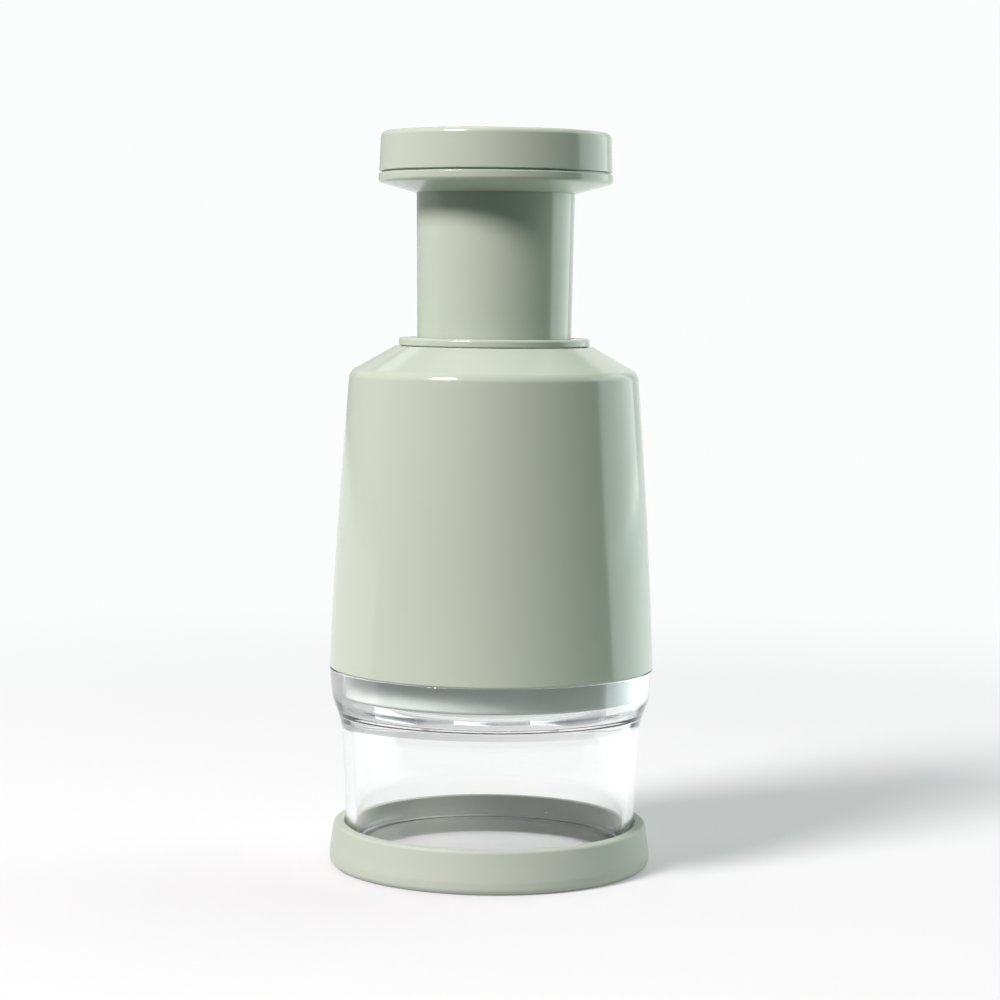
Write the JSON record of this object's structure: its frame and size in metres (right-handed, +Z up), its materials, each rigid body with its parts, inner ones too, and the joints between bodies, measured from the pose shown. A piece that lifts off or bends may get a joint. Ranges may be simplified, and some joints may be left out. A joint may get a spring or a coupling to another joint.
{
  "type": "food chopper",
  "caption": "Push-down food chopper: a knob drives a spring-loaded zigzag blade through a wiper plate into a clear cup that stands in a soft base ring.",
  "frame": {"origin": "on the chopper's axis, at the foot of the base ring", "axes": "+Z up along the plunger's axis; -Y is the side that faces the viewer; the blade's zigzag runs along X at rest"},
  "size_m": [0.1022, 0.1022, 0.23],
  "materials": {
    "gloss_sage": "glossy moulded plastic",
    "pale_sage": "satin moulded plastic",
    "soft_sage": "matte soft-touch rubber",
    "clear_plastic": "clear polished plastic",
    "inner_plastic": "moulded acetal",
    "wiper_plastic": "moulded polypropylene",
    "plain_steel": "turned steel",
    "spring_steel": "drawn spring steel",
    "blade_steel": "stainless strip with a ground edge"
  },
  "bodies": {
    "base": {"non_slip_base": "soft_sage"},
    "cup": {"chopping_cup": "clear_plastic"},
    "housing": {"outer_casing": "gloss_sage", "neck_collar": "gloss_sage", "collar_lock_ring": "inner_plastic", "lower_skirt": "pale_sage", "wiper_retainer": "inner_plastic", "guide_frame": "inner_plastic", "shaft_bush": "inner_plastic", "frame_screws": "plain_steel", "spring_washer": "plain_steel", "return_spring": "spring_steel"},
    "plunger": {"knob_cap": "gloss_sage", "knob_base": "gloss_sage", "knob_screws": "plain_steel", "plunger_sleeve": "gloss_sage", "sleeve_stop_ring": "inner_plastic"},
    "blade_head": {"blade_shaft": "plain_steel", "thrust_washer": "plain_steel", "shaft_clip": "spring_steel", "cross_pin": "plain_steel", "blade_carrier": "wiper_plastic", "carrier_screw": "plain_steel", "zigzag_blade": "blade_steel"},
    "wiper": {"wiper_plate": "wiper_plastic"}
  },
  "joints": [
    {"name": "cup_lift", "type": "slide", "parent": "base", "child": "cup", "axis": [0, 0, 1], "range_m": [0, 0.03]},
    {"name": "housing_lift", "type": "slide", "parent": "cup", "child": "housing", "axis": [0, 0, 1], "range_m": [0, 0.08]},
    {"name": "plunger_press", "type": "slide", "parent": "housing", "child": "plunger", "axis": [0, 0, -1], "range_m": [0, 0.0445], "stiffness_N_per_m": 380, "springref_m": -0.021, "deforming": ["return_spring"]},
    {"name": "blade_turn", "type": "hinge", "parent": "plunger", "child": "blade_head", "pos_m": [0, 0, 0.21285], "axis": [0, 0, 1], "range_deg": [0, 45.5]},
    {"name": "wiper_turn", "type": "hinge", "parent": "housing", "child": "wiper", "pos_m": [0, 0, 0.0555], "axis": [0, 0, 1], "range_deg": [0, 45.5]}
  ],
  "couplings": [
    {"joint": "blade_turn", "follows": "plunger_press", "rad_per_m": 17.649},
    {"joint": "wiper_turn", "follows": "plunger_press", "rad_per_m": 17.649}
  ]
}
